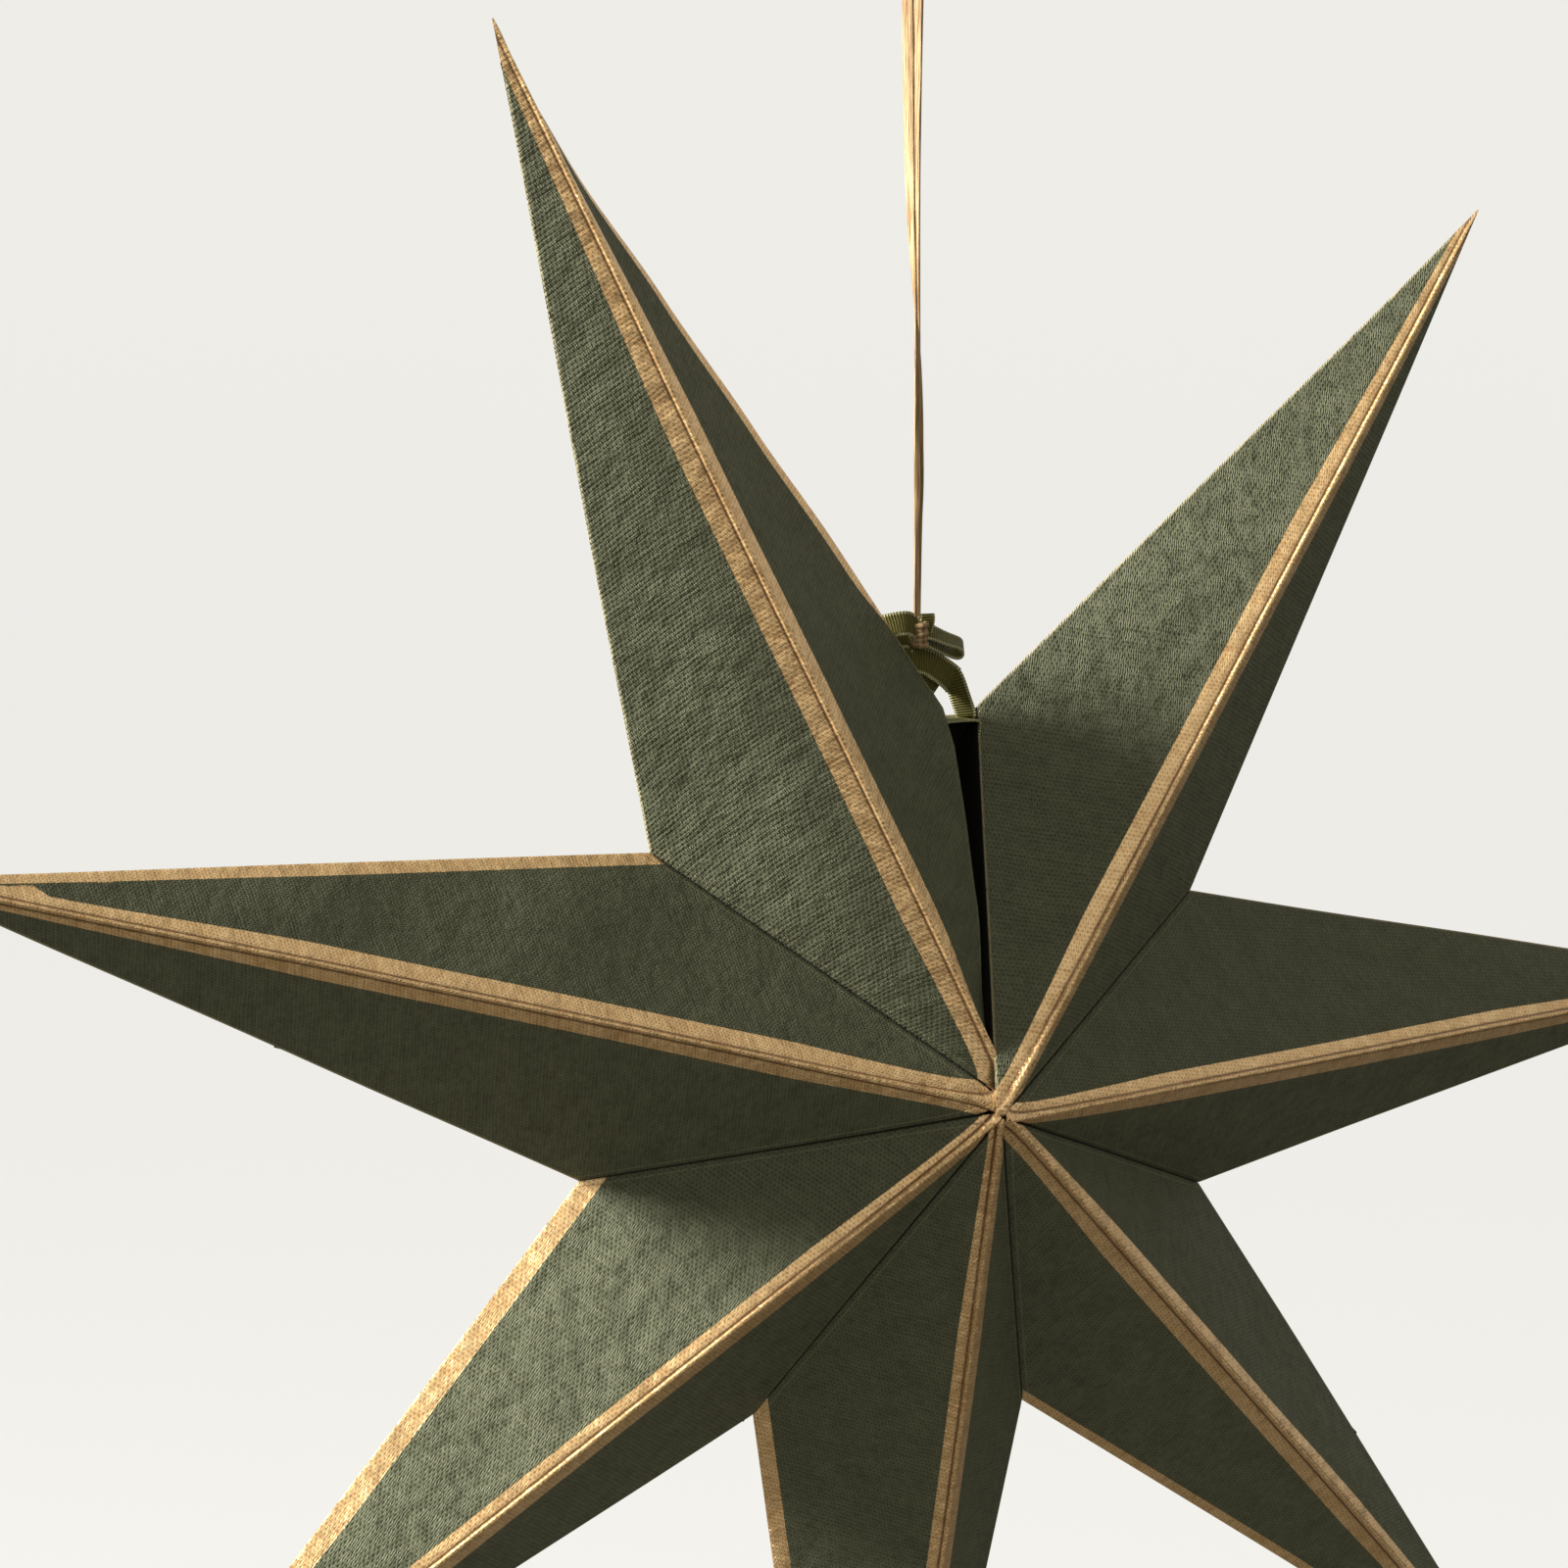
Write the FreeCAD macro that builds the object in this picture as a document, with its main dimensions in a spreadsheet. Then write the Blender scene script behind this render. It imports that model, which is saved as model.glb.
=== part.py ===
import FreeCAD, Part
import math
import os
import Sketcher
from FreeCAD import Placement, Rotation, Vector

# Hanging star of seven folded paper points, closed at the top with a ribbon and hung
# from a cord folded double. Millimetres. The origin is where the cord's loop bears on
# its hook, so the star's centre is straight below it. The front of the star faces -Y.

SIZES = [
    ("tip_reach", 300.0, "centre of the star to a tip"),
    ("first_tip_reach", 309.0, "the same for the point left of the slit, which stretches a little"),
    ("star_depth", 43.6, "flat plane of the star to the front and to the back centre"),
    ("paper", 0.4, "thickness of the heavy paper"),
    ("margin", 9.0, "width of the glue margins folded inward along each valley"),
    ("hub_gap", 5.0, "margins stop this far from the axis, so that they do not bunch up"),
    ("corner_trim", 5.0, "margins stop this far from the side corners"),
    ("slit_turn", 86.2, "turn of the slit edge of point 1, from the right-hand side, in degrees"),
    ("hang_height", 300.0, "hook to the centre of the star"),
    ("ribbon", 7.0, "width of the ribbon"),
    ("ribbon_paper", 0.5, "thickness of the ribbon"),
    ("strap_drop", 3.3, "ribbon strap across the slit, below the corner of the slit"),
    ("glue_gap", 0.1, "clearance between the ribbon and the paper it is glued to"),
    ("cord", 2.0, "diameter of each strand of the doubled cord"),
    ("cord_seat", 126.5, "height of the knot's flat top above the centre of the star"),
    ("corner_0", 106.5, "axis to the side corner of point 1 at the slit"),
    ("corner_1", 106.9, "axis to the side corner that points 1 and 2 share"),
    ("corner_2", 103.0, "axis to the side corner that points 2 and 3 share"),
    ("corner_3", 95.7, "axis to the side corner that points 3 and 4 share"),
    ("corner_4", 96.6, "axis to the side corner that points 4 and 5 share"),
    ("corner_5", 102.7, "axis to the side corner that points 5 and 6 share"),
    ("corner_6", 103.6, "axis to the side corner that points 6 and 7 share"),
    ("corner_7", 104.2, "axis to the side corner of point 7 at the slit"),
]

# Angles of each point, in degrees about the star's axis, from its own middle fold to the
# valley before it and to the valley after it. The seven hand-folded points differ a little.
LEAD = (27.7, 25.6, 26.4, 28.2, 24.2, 21.0, 23.8)
TRAIL = (25.1, 23.1, 24.8, 25.4, 23.2, 25.9, 27.5)

for count, (lead, trail) in enumerate(zip(LEAD, TRAIL), 1):
    SIZES.append((f"lead_{count}", lead, f"point {count}, middle fold to the valley before it"))
    SIZES.append((f"trail_{count}", trail, f"point {count}, middle fold to the valley after it"))

doc = FreeCAD.newDocument("paper_star")
sheet = doc.addObject("Spreadsheet::Sheet", "Sizes")
for row, (alias, value, note) in enumerate(SIZES, 1):
    sheet.set(f"A{row}", alias)
    sheet.set(f"B{row}", str(value))
    sheet.set(f"C{row}", note)
    sheet.setAlias(f"B{row}", alias)
doc.recompute()

made = []


def size(alias):
    return float(sheet.get(alias))


def origin_plane(body, role):
    for item in body.Origin.OriginFeatures:
        if item.Role == role:
            return item


def new_body(label):
    body = doc.addObject("PartDesign::Body", label)
    body.Label = label
    made.append(body)
    return body


def new_sketch(body, name, role):
    sketch = body.newObject("Sketcher::SketchObject", name)
    sketch.AttachmentSupport = [(origin_plane(body, role), "")]
    sketch.MapMode = "FlatFace"
    return sketch


# Closed outline whose corners are bound to expressions, each measured from the sketch's
# own origin.
def outline(sketch, corners):
    start = [Vector(x_guess, y_guess, 0) for x_guess, y_guess, _, _ in corners]
    for index, corner in enumerate(start):
        sketch.addGeometry(Part.LineSegment(corner, start[(index + 1) % len(start)]))
    for index in range(len(start)):
        sketch.addConstraint(Sketcher.Constraint("Coincident", index, 2, (index + 1) % len(start), 1))
    for index, (x_guess, y_guess, x_rule, y_rule) in enumerate(corners):
        for kind, guess, rule in (("DistanceX", x_guess, x_rule), ("DistanceY", y_guess, y_rule)):
            if rule is None:
                axis = -2 if kind == "DistanceX" else -1
                sketch.addConstraint(Sketcher.Constraint("PointOnObject", index, 1, axis))
                continue
            first, second = ((-1, 1), (index, 1)) if guess >= 0 else ((index, 1), (-1, 1))
            constraint = sketch.addConstraint(
                Sketcher.Constraint(kind, first[0], first[1], second[0], second[1], abs(guess)))
            sketch.setExpression(f"Constraints[{constraint}]", rule)


# Rules for one point, in its own frame: X runs out along the middle fold, Z is the front.
# The paper's wall is kept even by sliding the hollow toward the centre: each side slides
# by the paper's thickness, measured square to its two faces.
class PointRules:
    def __init__(self, number):
        self.tip = "Sizes.first_tip_reach" if number == 1 else "Sizes.tip_reach"
        self.spreads = (f"Sizes.lead_{number}", f"Sizes.trail_{number}")
        self.corners = (f"Sizes.corner_{number - 1}", f"Sizes.corner_{number}")
        before = "".join(f" + Sizes.lead_{i} + Sizes.trail_{i}" for i in range(1, number))
        self.turn = f"Sizes.slit_turn{before} + Sizes.lead_{number}"
        self.flares = [self.flare(side) for side in (0, 1)]
        slides = [f"(Sizes.paper * sqrt(Sizes.star_depth ^ 2 + ({self.tip} * sin({flare})) ^ 2)"
                  f" / Sizes.star_depth)" for flare in self.flares]
        closing = f"sin({self.flares[0]} + {self.flares[1]})"
        self.slide_in = (f"({slides[0]} * cos({self.flares[1]}) + {slides[1]} * cos({self.flares[0]}))"
                         f" / {closing}")
        self.slide_up = (f"({slides[0]} * sin({self.flares[1]}) - {slides[1]} * sin({self.flares[0]}))"
                         f" / {closing}")

    # Angle at the tip between the middle fold and one side crease, seen from the front.
    def flare(self, side):
        across, along = self.corner_rules(side)
        return f"atan2({across}; {self.tip} - {along})"

    def corner_rules(self, side):
        reach, spread = self.corners[side], self.spreads[side]
        return f"{reach} * sin({spread})", f"{reach} * cos({spread})"


def plan_outline(sketch, rules, number):
    lead, trail = math.radians(LEAD[number - 1]), math.radians(TRAIL[number - 1])
    near, far = size(f"corner_{number - 1}"), size(f"corner_{number}")
    down, along_down = rules.corner_rules(0)
    up, along_up = rules.corner_rules(1)
    outline(sketch, [
        (0.0, 0.0, None, None),
        (near * math.cos(lead), -near * math.sin(lead), along_down, down),
        (size("tip_reach"), 0.0, rules.tip, None),
        (far * math.cos(trail), far * math.sin(trail), along_up, up)])


def apex_point(body, name, side):
    sketch = new_sketch(body, name, "XY_Plane")
    sketch.addGeometry(Part.Point(Vector(0, 0, 0)))
    sketch.addConstraint(Sketcher.Constraint("Coincident", 0, 1, -1, 1))
    sketch.setExpression("AttachmentOffset.Base.z", f"{side} * Sizes.star_depth")
    return sketch


def slide(sketch, rules):
    sketch.setExpression("AttachmentOffset.Base.x", f"-({rules.slide_in})")
    sketch.setExpression("AttachmentOffset.Base.y", rules.slide_up)


def half(body, kind, name, plan, apex):
    loft = body.newObject(f"PartDesign::{kind}Loft", name)
    loft.Profile = plan
    loft.Sections = [(apex, ["Vertex1"])]
    loft.Ruled = True
    doc.recompute()


# Glue margins of one valley, folded inward from the front and the back edge: a V-shaped
# strip in the plane that holds the valley and the star's axis.
def margin_pad(body, rules, number, side):
    reach, spread = rules.corners[side], rules.spreads[side]
    name = "lead_margin" if side == 0 else "trail_margin"
    sketch = new_sketch(body, f"{name}_outline", "XZ_Plane")
    sketch.AttachmentOffset = Placement(Vector(), Rotation(Vector(0, 1, 0), 0))
    sketch.setExpression("AttachmentOffset.Rotation.Angle", spread if side else f"-{spread}")
    slope = f"Sizes.star_depth / {reach}"
    rise = f"sqrt(1 + ({slope}) ^ 2)"
    hub = "Sizes.hub_gap"
    end = f"({reach} - Sizes.corner_trim)"
    inner_end = f"({reach} - Sizes.margin * {rise} / ({slope}))"
    outer_hub = f"({slope}) * ({reach} - {hub})"
    inner_hub = f"({outer_hub} - Sizes.margin * {rise})"
    outer_end = f"({slope}) * Sizes.corner_trim"
    far = size(f"corner_{number - 1 + side}")
    steep = size("star_depth") / far
    wide = math.sqrt(1 + steep ** 2) * size("margin")
    x_hub, x_end, x_inner = size("hub_gap"), far - size("corner_trim"), far - wide / steep
    y_hub, y_end = steep * (far - x_hub), steep * (far - x_end)
    outline(sketch, [
        (x_hub, y_hub, hub, outer_hub),
        (x_end, y_end, end, outer_end),
        (x_end, -y_end, end, outer_end),
        (x_hub, -y_hub, hub, outer_hub),
        (x_hub, wide - y_hub, hub, inner_hub),
        (x_inner, 0.0, inner_end, None),
        (x_hub, y_hub - wide, hub, inner_hub)])
    pad = body.newObject("PartDesign::Pad", name)
    pad.Profile = sketch
    pad.Reversed = side == 0
    pad.setExpression("Length", "Sizes.paper")
    doc.recompute()


# One point of the star, folded from one sheet: four faces that meet at the tip, hollow
# and open toward the centre, with a pair of glue margins at each valley.
def star_point(number):
    rules = PointRules(number)
    body = new_body(f"point_{number}")
    body.setExpression("Placement", "create(<<placement>>; create(<<vector>>; 0; 0; -Sizes.hang_height);"
                                    f" create(<<rotation>>; 0; -({rules.turn}); 90))")
    plan = new_sketch(body, "plan", "XY_Plane")
    plan_outline(plan, rules, number)
    hollow = new_sketch(body, "hollow_plan", "XY_Plane")
    plan_outline(hollow, rules, number)
    slide(hollow, rules)
    ends = {}
    for word, side in (("front", 1), ("back", -1)):
        ends[word] = apex_point(body, f"{word}_centre", side)
        ends[f"{word}_hollow"] = apex_point(body, f"{word}_hollow_centre", side)
        slide(ends[f"{word}_hollow"], rules)
    doc.recompute()
    for word in ("front", "back"):
        half(body, "Additive", f"{word}_half", plan, ends[word])
    for word in ("front", "back"):
        half(body, "Subtractive", f"{word}_hollow", hollow, ends[f"{word}_hollow"])
    for side in (0, 1):
        margin_pad(body, rules, number, side)


# Places in the star's own plane, from its centre, as points of the X-Z plane.
def polar(reach, turn, depth=0.0):
    angle = math.radians(turn)
    return Vector(reach * math.cos(angle), depth, reach * math.sin(angle))


def hang(label, shape):
    piece = doc.addObject("Part::Feature", label)
    piece.Label = label
    piece.Shape = shape
    piece.Placement = Placement(Vector(0, 0, -size("hang_height")), Rotation())
    piece.setExpression("Placement.Base.z", "-Sizes.hang_height")
    made.append(piece)


# Flat band that follows a line of points, with even thickness, and as wide as the ribbon.
# across is the direction of its width.
def band(points, across, closed=False):
    count = len(points)
    sides = []
    for index in range(count):
        before = points[index - 1] if closed or index > 0 else None
        after = points[(index + 1) % count] if closed or index < count - 1 else None
        run_in = (points[index] - before).normalize() if before else None
        run_out = (after - points[index]).normalize() if after else None
        mean = (run_in or run_out) + (run_out or run_in)
        mean.normalize()
        lift = across.cross(mean).normalize()
        square = across.cross(run_in or run_out).normalize()
        sides.append(lift * (size("ribbon_paper") / 2 / lift.dot(square)))
    outer = [place + lift for place, lift in zip(points, sides)]
    inner = [place - lift for place, lift in zip(points, sides)]
    start = across * (-size("ribbon") / 2)
    if closed:
        rings = [Part.makePolygon([p + start for p in line + line[:1]]) for line in (outer, inner)]
        faces = [Part.Face(ring) for ring in rings]
        solids = [face.extrude(across * size("ribbon")) for face in faces]
        solids.sort(key=lambda solid: abs(solid.Volume))
        return solids[1].cut(solids[0])
    line = outer + inner[::-1]
    return Part.Face(Part.makePolygon([p + start for p in line + line[:1]])).extrude(across * size("ribbon"))


# Ribbon that ties the two edges of the slit: a strap across the slit just below its
# corners, glued flat to both slit margins.
def closing_strap():
    ease = size("glue_gap") + size("ribbon_paper") / 2
    left_turn = size("slit_turn")
    right_turn = left_turn + sum(size(f"lead_{i}") + size(f"trail_{i}") for i in range(1, 8)) - 360
    height = size("corner_7") * math.sin(math.radians(right_turn)) - size("strap_drop")
    glued = size("ribbon") * 1.5
    along_left, along_right = polar(1, left_turn), polar(1, right_turn)
    in_left = Vector(along_left.z, 0, -along_left.x) * ease
    in_right = Vector(-along_right.z, 0, along_right.x) * ease
    left = along_left * (height / along_left.z) + in_left
    right = along_right * (height / along_right.z) + in_right
    path = [left - along_left * glued, left, right, right - along_right * glued]
    hang("closing_strap", band(path, Vector(0, 1, 0)))
    return right


# Bow tied over the slit. Its long leg comes up from the strap, the knot holds the cord,
# and a loop stands out on either side. The leg is given across and above the centre of
# the star, and each loop from its start in the knot, along and toward the back.
LEG_OUTLINE = [(17.2, 110.0), (14.5, 115.0), (9.0, 119.0), (-1.2, 119.0), (5.6, 110.2), (10.0, 109.0)]
KNOT_WIDE, KNOT_DEEP, KNOT_TALL, KNOT_LEFT, KNOT_ROUND = 7.0, 5.0, 9.0, -0.4, 1.0
LEFT_LOOP = [(0, 0.2), (-6.7, 1.6), (-12.7, 6.0), (-12.2, 8.6), (-6.2, 7.6), (0, 2.2)]
LEFT_START, LEFT_BELOW, LEFT_LIFT = -0.2, 2.0, 16
RIGHT_LOOP = [(0, -1.2), (8.5, -2.6), (12.5, -1.6), (13.5, 0.2), (12.3, 2.0), (8.0, 2.6), (0, 1.2)]
RIGHT_START, RIGHT_BELOW, RIGHT_SLANT = 4.0, 4.0, 35


def bow(strap_end):
    up = Vector(0, 0, 1)
    wide, thick = size("ribbon"), size("ribbon_paper")
    knot_top = size("cord_seat")
    front = -thick
    foot = Vector(strap_end.x - wide / 2 - thick, front, strap_end.z + thick / 2)
    heel, toe = foot + Vector(-wide / 2, 0, 0), foot + Vector(wide / 2, 0, 0)
    leg = Part.Face(Part.makePolygon([heel, toe, *(Vector(x, front, z) for x, z in LEG_OUTLINE), heel]))
    leg = leg.extrude(Vector(0, 2 * thick, 0))
    corner = Vector(KNOT_LEFT, -KNOT_DEEP / 2, knot_top - KNOT_TALL)
    knot = Part.makeBox(KNOT_WIDE, KNOT_DEEP, KNOT_TALL, corner)
    knot = knot.makeFillet(KNOT_ROUND, [edge for edge in knot.Edges if abs(edge.tangentAt(0).z) > 0.9])
    lift = Rotation(Vector(0, 1, 0), LEFT_LIFT)
    start = Vector(LEFT_START, 0, knot_top - LEFT_BELOW)
    left_loop = band([start + lift.multVec(Vector(x, y, 0)) for x, y in LEFT_LOOP], lift.multVec(up),
                     closed=True)
    slant = Rotation(Vector(0, 1, 0), RIGHT_SLANT)
    start = Vector(RIGHT_START, 0, knot_top - RIGHT_BELOW)
    right_loop = band([start + slant.multVec(Vector(x, y, 0)) for x, y in RIGHT_LOOP], slant.multVec(up),
                      closed=True)
    shape = leg.fuse([knot, left_loop, right_loop]).removeSplitter()
    hang("bow", shape)


# Centre line of the cord: straight runs joined by tangent arcs, each as large as its two
# runs allow.
def cord_path(points):
    edges = []
    last = points[0]
    for before, corner, after in zip(points, points[1:], points[2:]):
        run_in, run_out = (corner - before), (after - corner)
        turn = run_in.getAngle(run_out)
        reach = 0.45 * min(run_in.Length, run_out.Length)
        radius = reach / math.tan(turn / 2)
        start = corner - run_in.normalize() * reach
        end = corner + run_out.normalize() * reach
        middle_way = ((start + end) / 2 - corner).normalize()
        centre = corner + middle_way * (radius / math.cos(turn / 2))
        edges.append(Part.LineSegment(last, start).toShape())
        edges.append(Part.Arc(start, centre - middle_way * radius, end).toShape())
        last = end
    edges.append(Part.LineSegment(last, points[-1]).toShape())
    return Part.Wire(edges)


# Hanging cord: one length folded double, pulled straight by the star's weight. Both ends
# go into the knot, and the loop at the top goes over a hook above the picture.
def hanging_cord():
    seat = size("cord_seat")
    top = size("hang_height") + size("cord") / 2
    route = [
        Vector(1.3, -1.2, seat), Vector(1.3, -1.2, 150), Vector(-1.4, -1.2, 235), Vector(-2.7, -1.2, top),
        Vector(2.7, 1.2, top), Vector(1.4, 1.2, 235), Vector(3.2, 1.2, 168), Vector(2.3, 1.2, 147),
        Vector(2.3, 1.2, seat)]
    path = cord_path(route)
    ring = Part.Wire(Part.makeCircle(size("cord") / 2, route[0], route[1] - route[0]))
    tube = path.makePipeShell([ring], True, False)
    hang("hanging_cord", tube)


for number in range(1, len(LEAD) + 1):
    star_point(number)
bow(closing_strap())
hanging_cord()

doc.recompute()
for item in doc.Objects:
    if "Invalid" in item.State or "Error" in item.State:
        raise RuntimeError(f"{item.Label} did not build")
for piece in made:
    if piece.Shape.isNull() or not piece.Shape.isValid():
        raise RuntimeError(f"{piece.Label} has no valid shape")

os.makedirs("parts", exist_ok=True)
for piece in made:
    piece.Shape.exportStep(os.path.join("parts", f"{piece.Label}.step"))
    print(piece.Label, len(piece.Shape.Solids), round(piece.Shape.Volume, 1))
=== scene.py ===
import math

import bpy
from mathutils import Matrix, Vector, noise


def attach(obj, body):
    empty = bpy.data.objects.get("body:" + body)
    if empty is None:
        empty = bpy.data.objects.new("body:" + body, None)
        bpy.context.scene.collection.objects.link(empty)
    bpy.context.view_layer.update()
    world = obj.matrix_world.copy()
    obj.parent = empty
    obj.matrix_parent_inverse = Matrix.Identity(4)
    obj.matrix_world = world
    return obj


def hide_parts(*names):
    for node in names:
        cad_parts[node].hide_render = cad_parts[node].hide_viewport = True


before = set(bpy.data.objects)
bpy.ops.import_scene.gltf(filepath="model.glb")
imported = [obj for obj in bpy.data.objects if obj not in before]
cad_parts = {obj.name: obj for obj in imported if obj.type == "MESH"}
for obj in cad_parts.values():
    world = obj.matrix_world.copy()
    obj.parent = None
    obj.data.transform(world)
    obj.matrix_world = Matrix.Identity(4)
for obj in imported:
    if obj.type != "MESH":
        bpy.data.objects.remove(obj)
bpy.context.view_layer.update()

# The camera stands about 33 degrees round to the left of the star's front, and looks
# 7 degrees down on it through a long lens.
bpy.ops.object.select_all(action="DESELECT")
bpy.ops.object.camera_add(location=(-0.78185, -1.17738, -0.03890),
                          rotation=(math.radians(82.7832), 0, math.radians(-32.2325)))
camera = bpy.context.object
camera.data.lens = 123.75
camera.data.sensor_width = 36
bpy.context.scene.camera = camera


# Hanging cord: two flat strips of raffia, one length folded double over the hook and
# tied into the bow's knot. The dry fibre is flat where it's pulled over the hook, and
# turns edge-on further down.
class Fibre:
    """One socket of a finish. Sums and products of fibres add their own Math nodes."""

    def __init__(self, tree, socket=None):
        self.tree, self.socket = tree, socket

    def node(self, kind, settings=None, inputs=None, output=0):
        made = self.tree.nodes.new(kind)
        for key, value in (settings or {}).items():
            setattr(made, key, value)
        for key, value in (inputs or {}).items():
            if isinstance(value, Fibre):
                self.tree.links.new(value.socket, made.inputs[key])
            else:
                made.inputs[key].default_value = value
        return Fibre(self.tree, made.outputs[output])

    def sum(self, operation, *values):
        return self.node("ShaderNodeMath", {"operation": operation}, dict(enumerate(values)))

    def __add__(self, other):
        return self.sum("ADD", self, other)

    def __sub__(self, other):
        return self.sum("SUBTRACT", self, other)

    def __mul__(self, other):
        return self.sum("MULTIPLY", self, other)

    def __rsub__(self, other):
        return self.sum("SUBTRACT", other, self)

    __radd__ = __add__
    __rmul__ = __mul__

    def step(self, low, high):
        """0 below low, 1 above high, and smooth between them."""
        return self.node("ShaderNodeMapRange", {"interpolation_type": "SMOOTHSTEP", "clamp": True},
                         {"Value": self, "From Min": low, "From Max": high})

    def most(self, other):
        return self.sum("MAXIMUM", self, other)

    def off(self, middle):
        """How far this is from a middle value, on either side."""
        return self.sum("ABSOLUTE", self - middle)

    def wave(self):
        """0 to 1 and back once for each whole number."""
        return self.sum("COSINE", self * (2 * math.pi)) * -0.5 + 0.5

    def blend(self, first, second):
        """The first colour where this is 0 and the second where it is 1."""
        return self.node("ShaderNodeMix", {"data_type": "RGBA"}, {0: self, 6: first, 7: second}, output=2)

    def grain(self, across, along, scale, detail=2.0, rough=0.5):
        """Noise read at a place that is given in two directions."""
        place = self.node("ShaderNodeCombineXYZ", None, {0: across, 1: along})
        return self.node("ShaderNodeTexNoise", {"noise_dimensions": "2D"},
                         {"Vector": place, "Scale": scale, "Detail": detail, "Roughness": rough})

    def cloud(self, place, scale, detail=2.0, rough=0.5):
        return self.node("ShaderNodeTexNoise", None,
                         {"Vector": place, "Scale": scale, "Detail": detail, "Roughness": rough})


def new_finish(name, roughness, **fixed):
    """An empty finish with its main shader, whose own sockets take the fixed numbers."""
    material = bpy.data.materials.new(name)
    material.use_nodes = True
    tree = material.node_tree
    shader = tree.nodes["Principled BSDF"]
    shader.inputs["Roughness"].default_value = roughness
    for key, value in fixed.items():
        shader.inputs[key.replace("_", " ")].default_value = value
    return material, Fibre(tree), shader


def colour(red, green, blue):
    """A colour as it looks on a screen, from 0 to 255, as the linear numbers of a finish."""
    parts = [part / 255 for part in (red, green, blue)]
    return [part / 12.92 if part < 0.04 else ((part + 0.055) / 1.055) ** 2.4 for part in parts] + [1.0]


def feed(thread, shader, **wires):
    for key, wire in wires.items():
        thread.tree.links.new(wire.socket, shader.inputs[key.replace("_", " ")])


def raised(thread, height, distance):
    return thread.node("ShaderNodeBump", None, {"Height": height, "Distance": distance})


def raffia_finish():
    finish, thread, shader = new_finish("raffia_finish", 0.5, Specular_IOR_Level=0.35)
    place = thread.node("ShaderNodeTexCoord", output=3)
    stretched = thread.node("ShaderNodeVectorMath", {"operation": "MULTIPLY"},
                            {0: place, 1: (1, 1, 0.03)})
    streaks = thread.cloud(stretched, 2600.0, 3.0, 0.6)
    wide = thread.cloud(stretched, 900.0, 2.0)
    tone = (streaks * 0.7 + wide * 0.5 - 0.1).step(0.3, 0.75)
    base = tone.blend(colour(112, 76, 40), colour(228, 198, 148))
    feed(thread, shader, Base_Color=base, Normal=raised(thread, streaks, 0.0003))
    return finish


raffia = raffia_finish()
# The route from the knot up over the hook and back, with the strip's turn on its way, in
# degrees, and how wide it is there, as shares of the flat half width and rounded edge.
CORD_ROUTE = [(0.0013, -0.0012, -0.1735), (0.0013, -0.0012, -0.158), (0.0015, -0.0012, -0.138),
              (0.0015, -0.0012, -0.112), (0.0002, -0.0012, -0.088), (-0.0015, -0.0012, -0.062),
              (-0.0020, -0.0012, -0.034), (-0.0023, -0.0012, -0.012), (-0.0027, -0.0012, 0.001),
              (0.0027, 0.0012, 0.001), (0.0023, 0.0012, -0.012), (0.0019, 0.0012, -0.034),
              (0.0017, 0.0012, -0.062), (0.0026, 0.0012, -0.092), (0.0034, 0.0012, -0.116),
              (0.0041, 0.0012, -0.137), (0.0027, 0.0012, -0.158), (0.0023, 0.0012, -0.1735)]
CORD_TURN = (-100, -100, -115, -75, -20, 15, 30, 32, 26, 15, 17, 17, 29, 64, 84, 119, 124, 124)
CORD_WIDTH = (0.75, 0.85, 1.1, 1.2, 1.3, 1.35, 1.35, 1.4, 1.4, 1.4, 1.4, 1.35, 1.3, 1.2, 1.1, 1.0,
              0.8, 0.7)
FLAT_HALF = 0.0009
ROUNDED_EDGE = 0.0003

cord_line = bpy.data.curves.new("hanging_cord_strips", "CURVE")
cord_line.dimensions = "3D"
cord_line.twist_mode = "MINIMUM"
spline = cord_line.splines.new("NURBS")
spline.points.add(len(CORD_ROUTE) - 1)
for point, place, turn, width in zip(spline.points, CORD_ROUTE, CORD_TURN, CORD_WIDTH):
    point.co = (*place, 1.0)
    point.tilt = math.radians(turn)
    point.radius = width
spline.order_u = 3
spline.use_endpoint_u = True
spline.resolution_u = 24
cord_line.extrude = FLAT_HALF
cord_line.bevel_depth = ROUNDED_EDGE
cord_line.bevel_resolution = 2
cord_line.use_fill_caps = True
hanging_cord = bpy.data.objects.new("hanging_cord_strips", cord_line)
bpy.context.scene.collection.objects.link(hanging_cord)
hanging_cord.data.materials.append(raffia)
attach(hanging_cord, "root")
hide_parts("hanging_cord")


# The seven points: each is one sheet of heavy paper with a pressed linen weave, folded
# along its middle in front and behind and along both sides, with glue margins turned
# inward at its valleys. Gold lines are printed along the folds.
MM = 0.001
CENTRE = Vector((0, 0, -0.300))
TIP_REACH = 0.300
FIRST_TIP_REACH = 0.309
DEPTH = 0.0436
PAPER = 0.0004
MARGIN = 0.009
SLIT_TURN = 86.2
LEAD = (27.7, 25.6, 26.4, 28.2, 24.2, 21.0, 23.8)
TRAIL = (25.1, 23.1, 24.8, 25.4, 23.2, 25.9, 27.5)
CORNER = (0.1065, 0.1069, 0.1030, 0.0957, 0.0966, 0.1027, 0.1036, 0.1042)
# Widths of the gold lines in millimetres. No two sheets are printed quite alike. The
# side line lies on the front of five points and behind on the other two.
LEAD_GOLD = (6.4, 5.9, 4.2, 4.2, 5.3, 5.9, 5.6)
TRAIL_GOLD = (5.9, 4.6, 6.6, 6.8, 5.3, 4.6, 5.6)
SIDE_GOLD = (3.4, 3.9, 5.4, 4.7, 3.2, 4.5, 4.5)
GOLD_IN_FRONT = (True, True, True, True, True, False, False)
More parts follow.
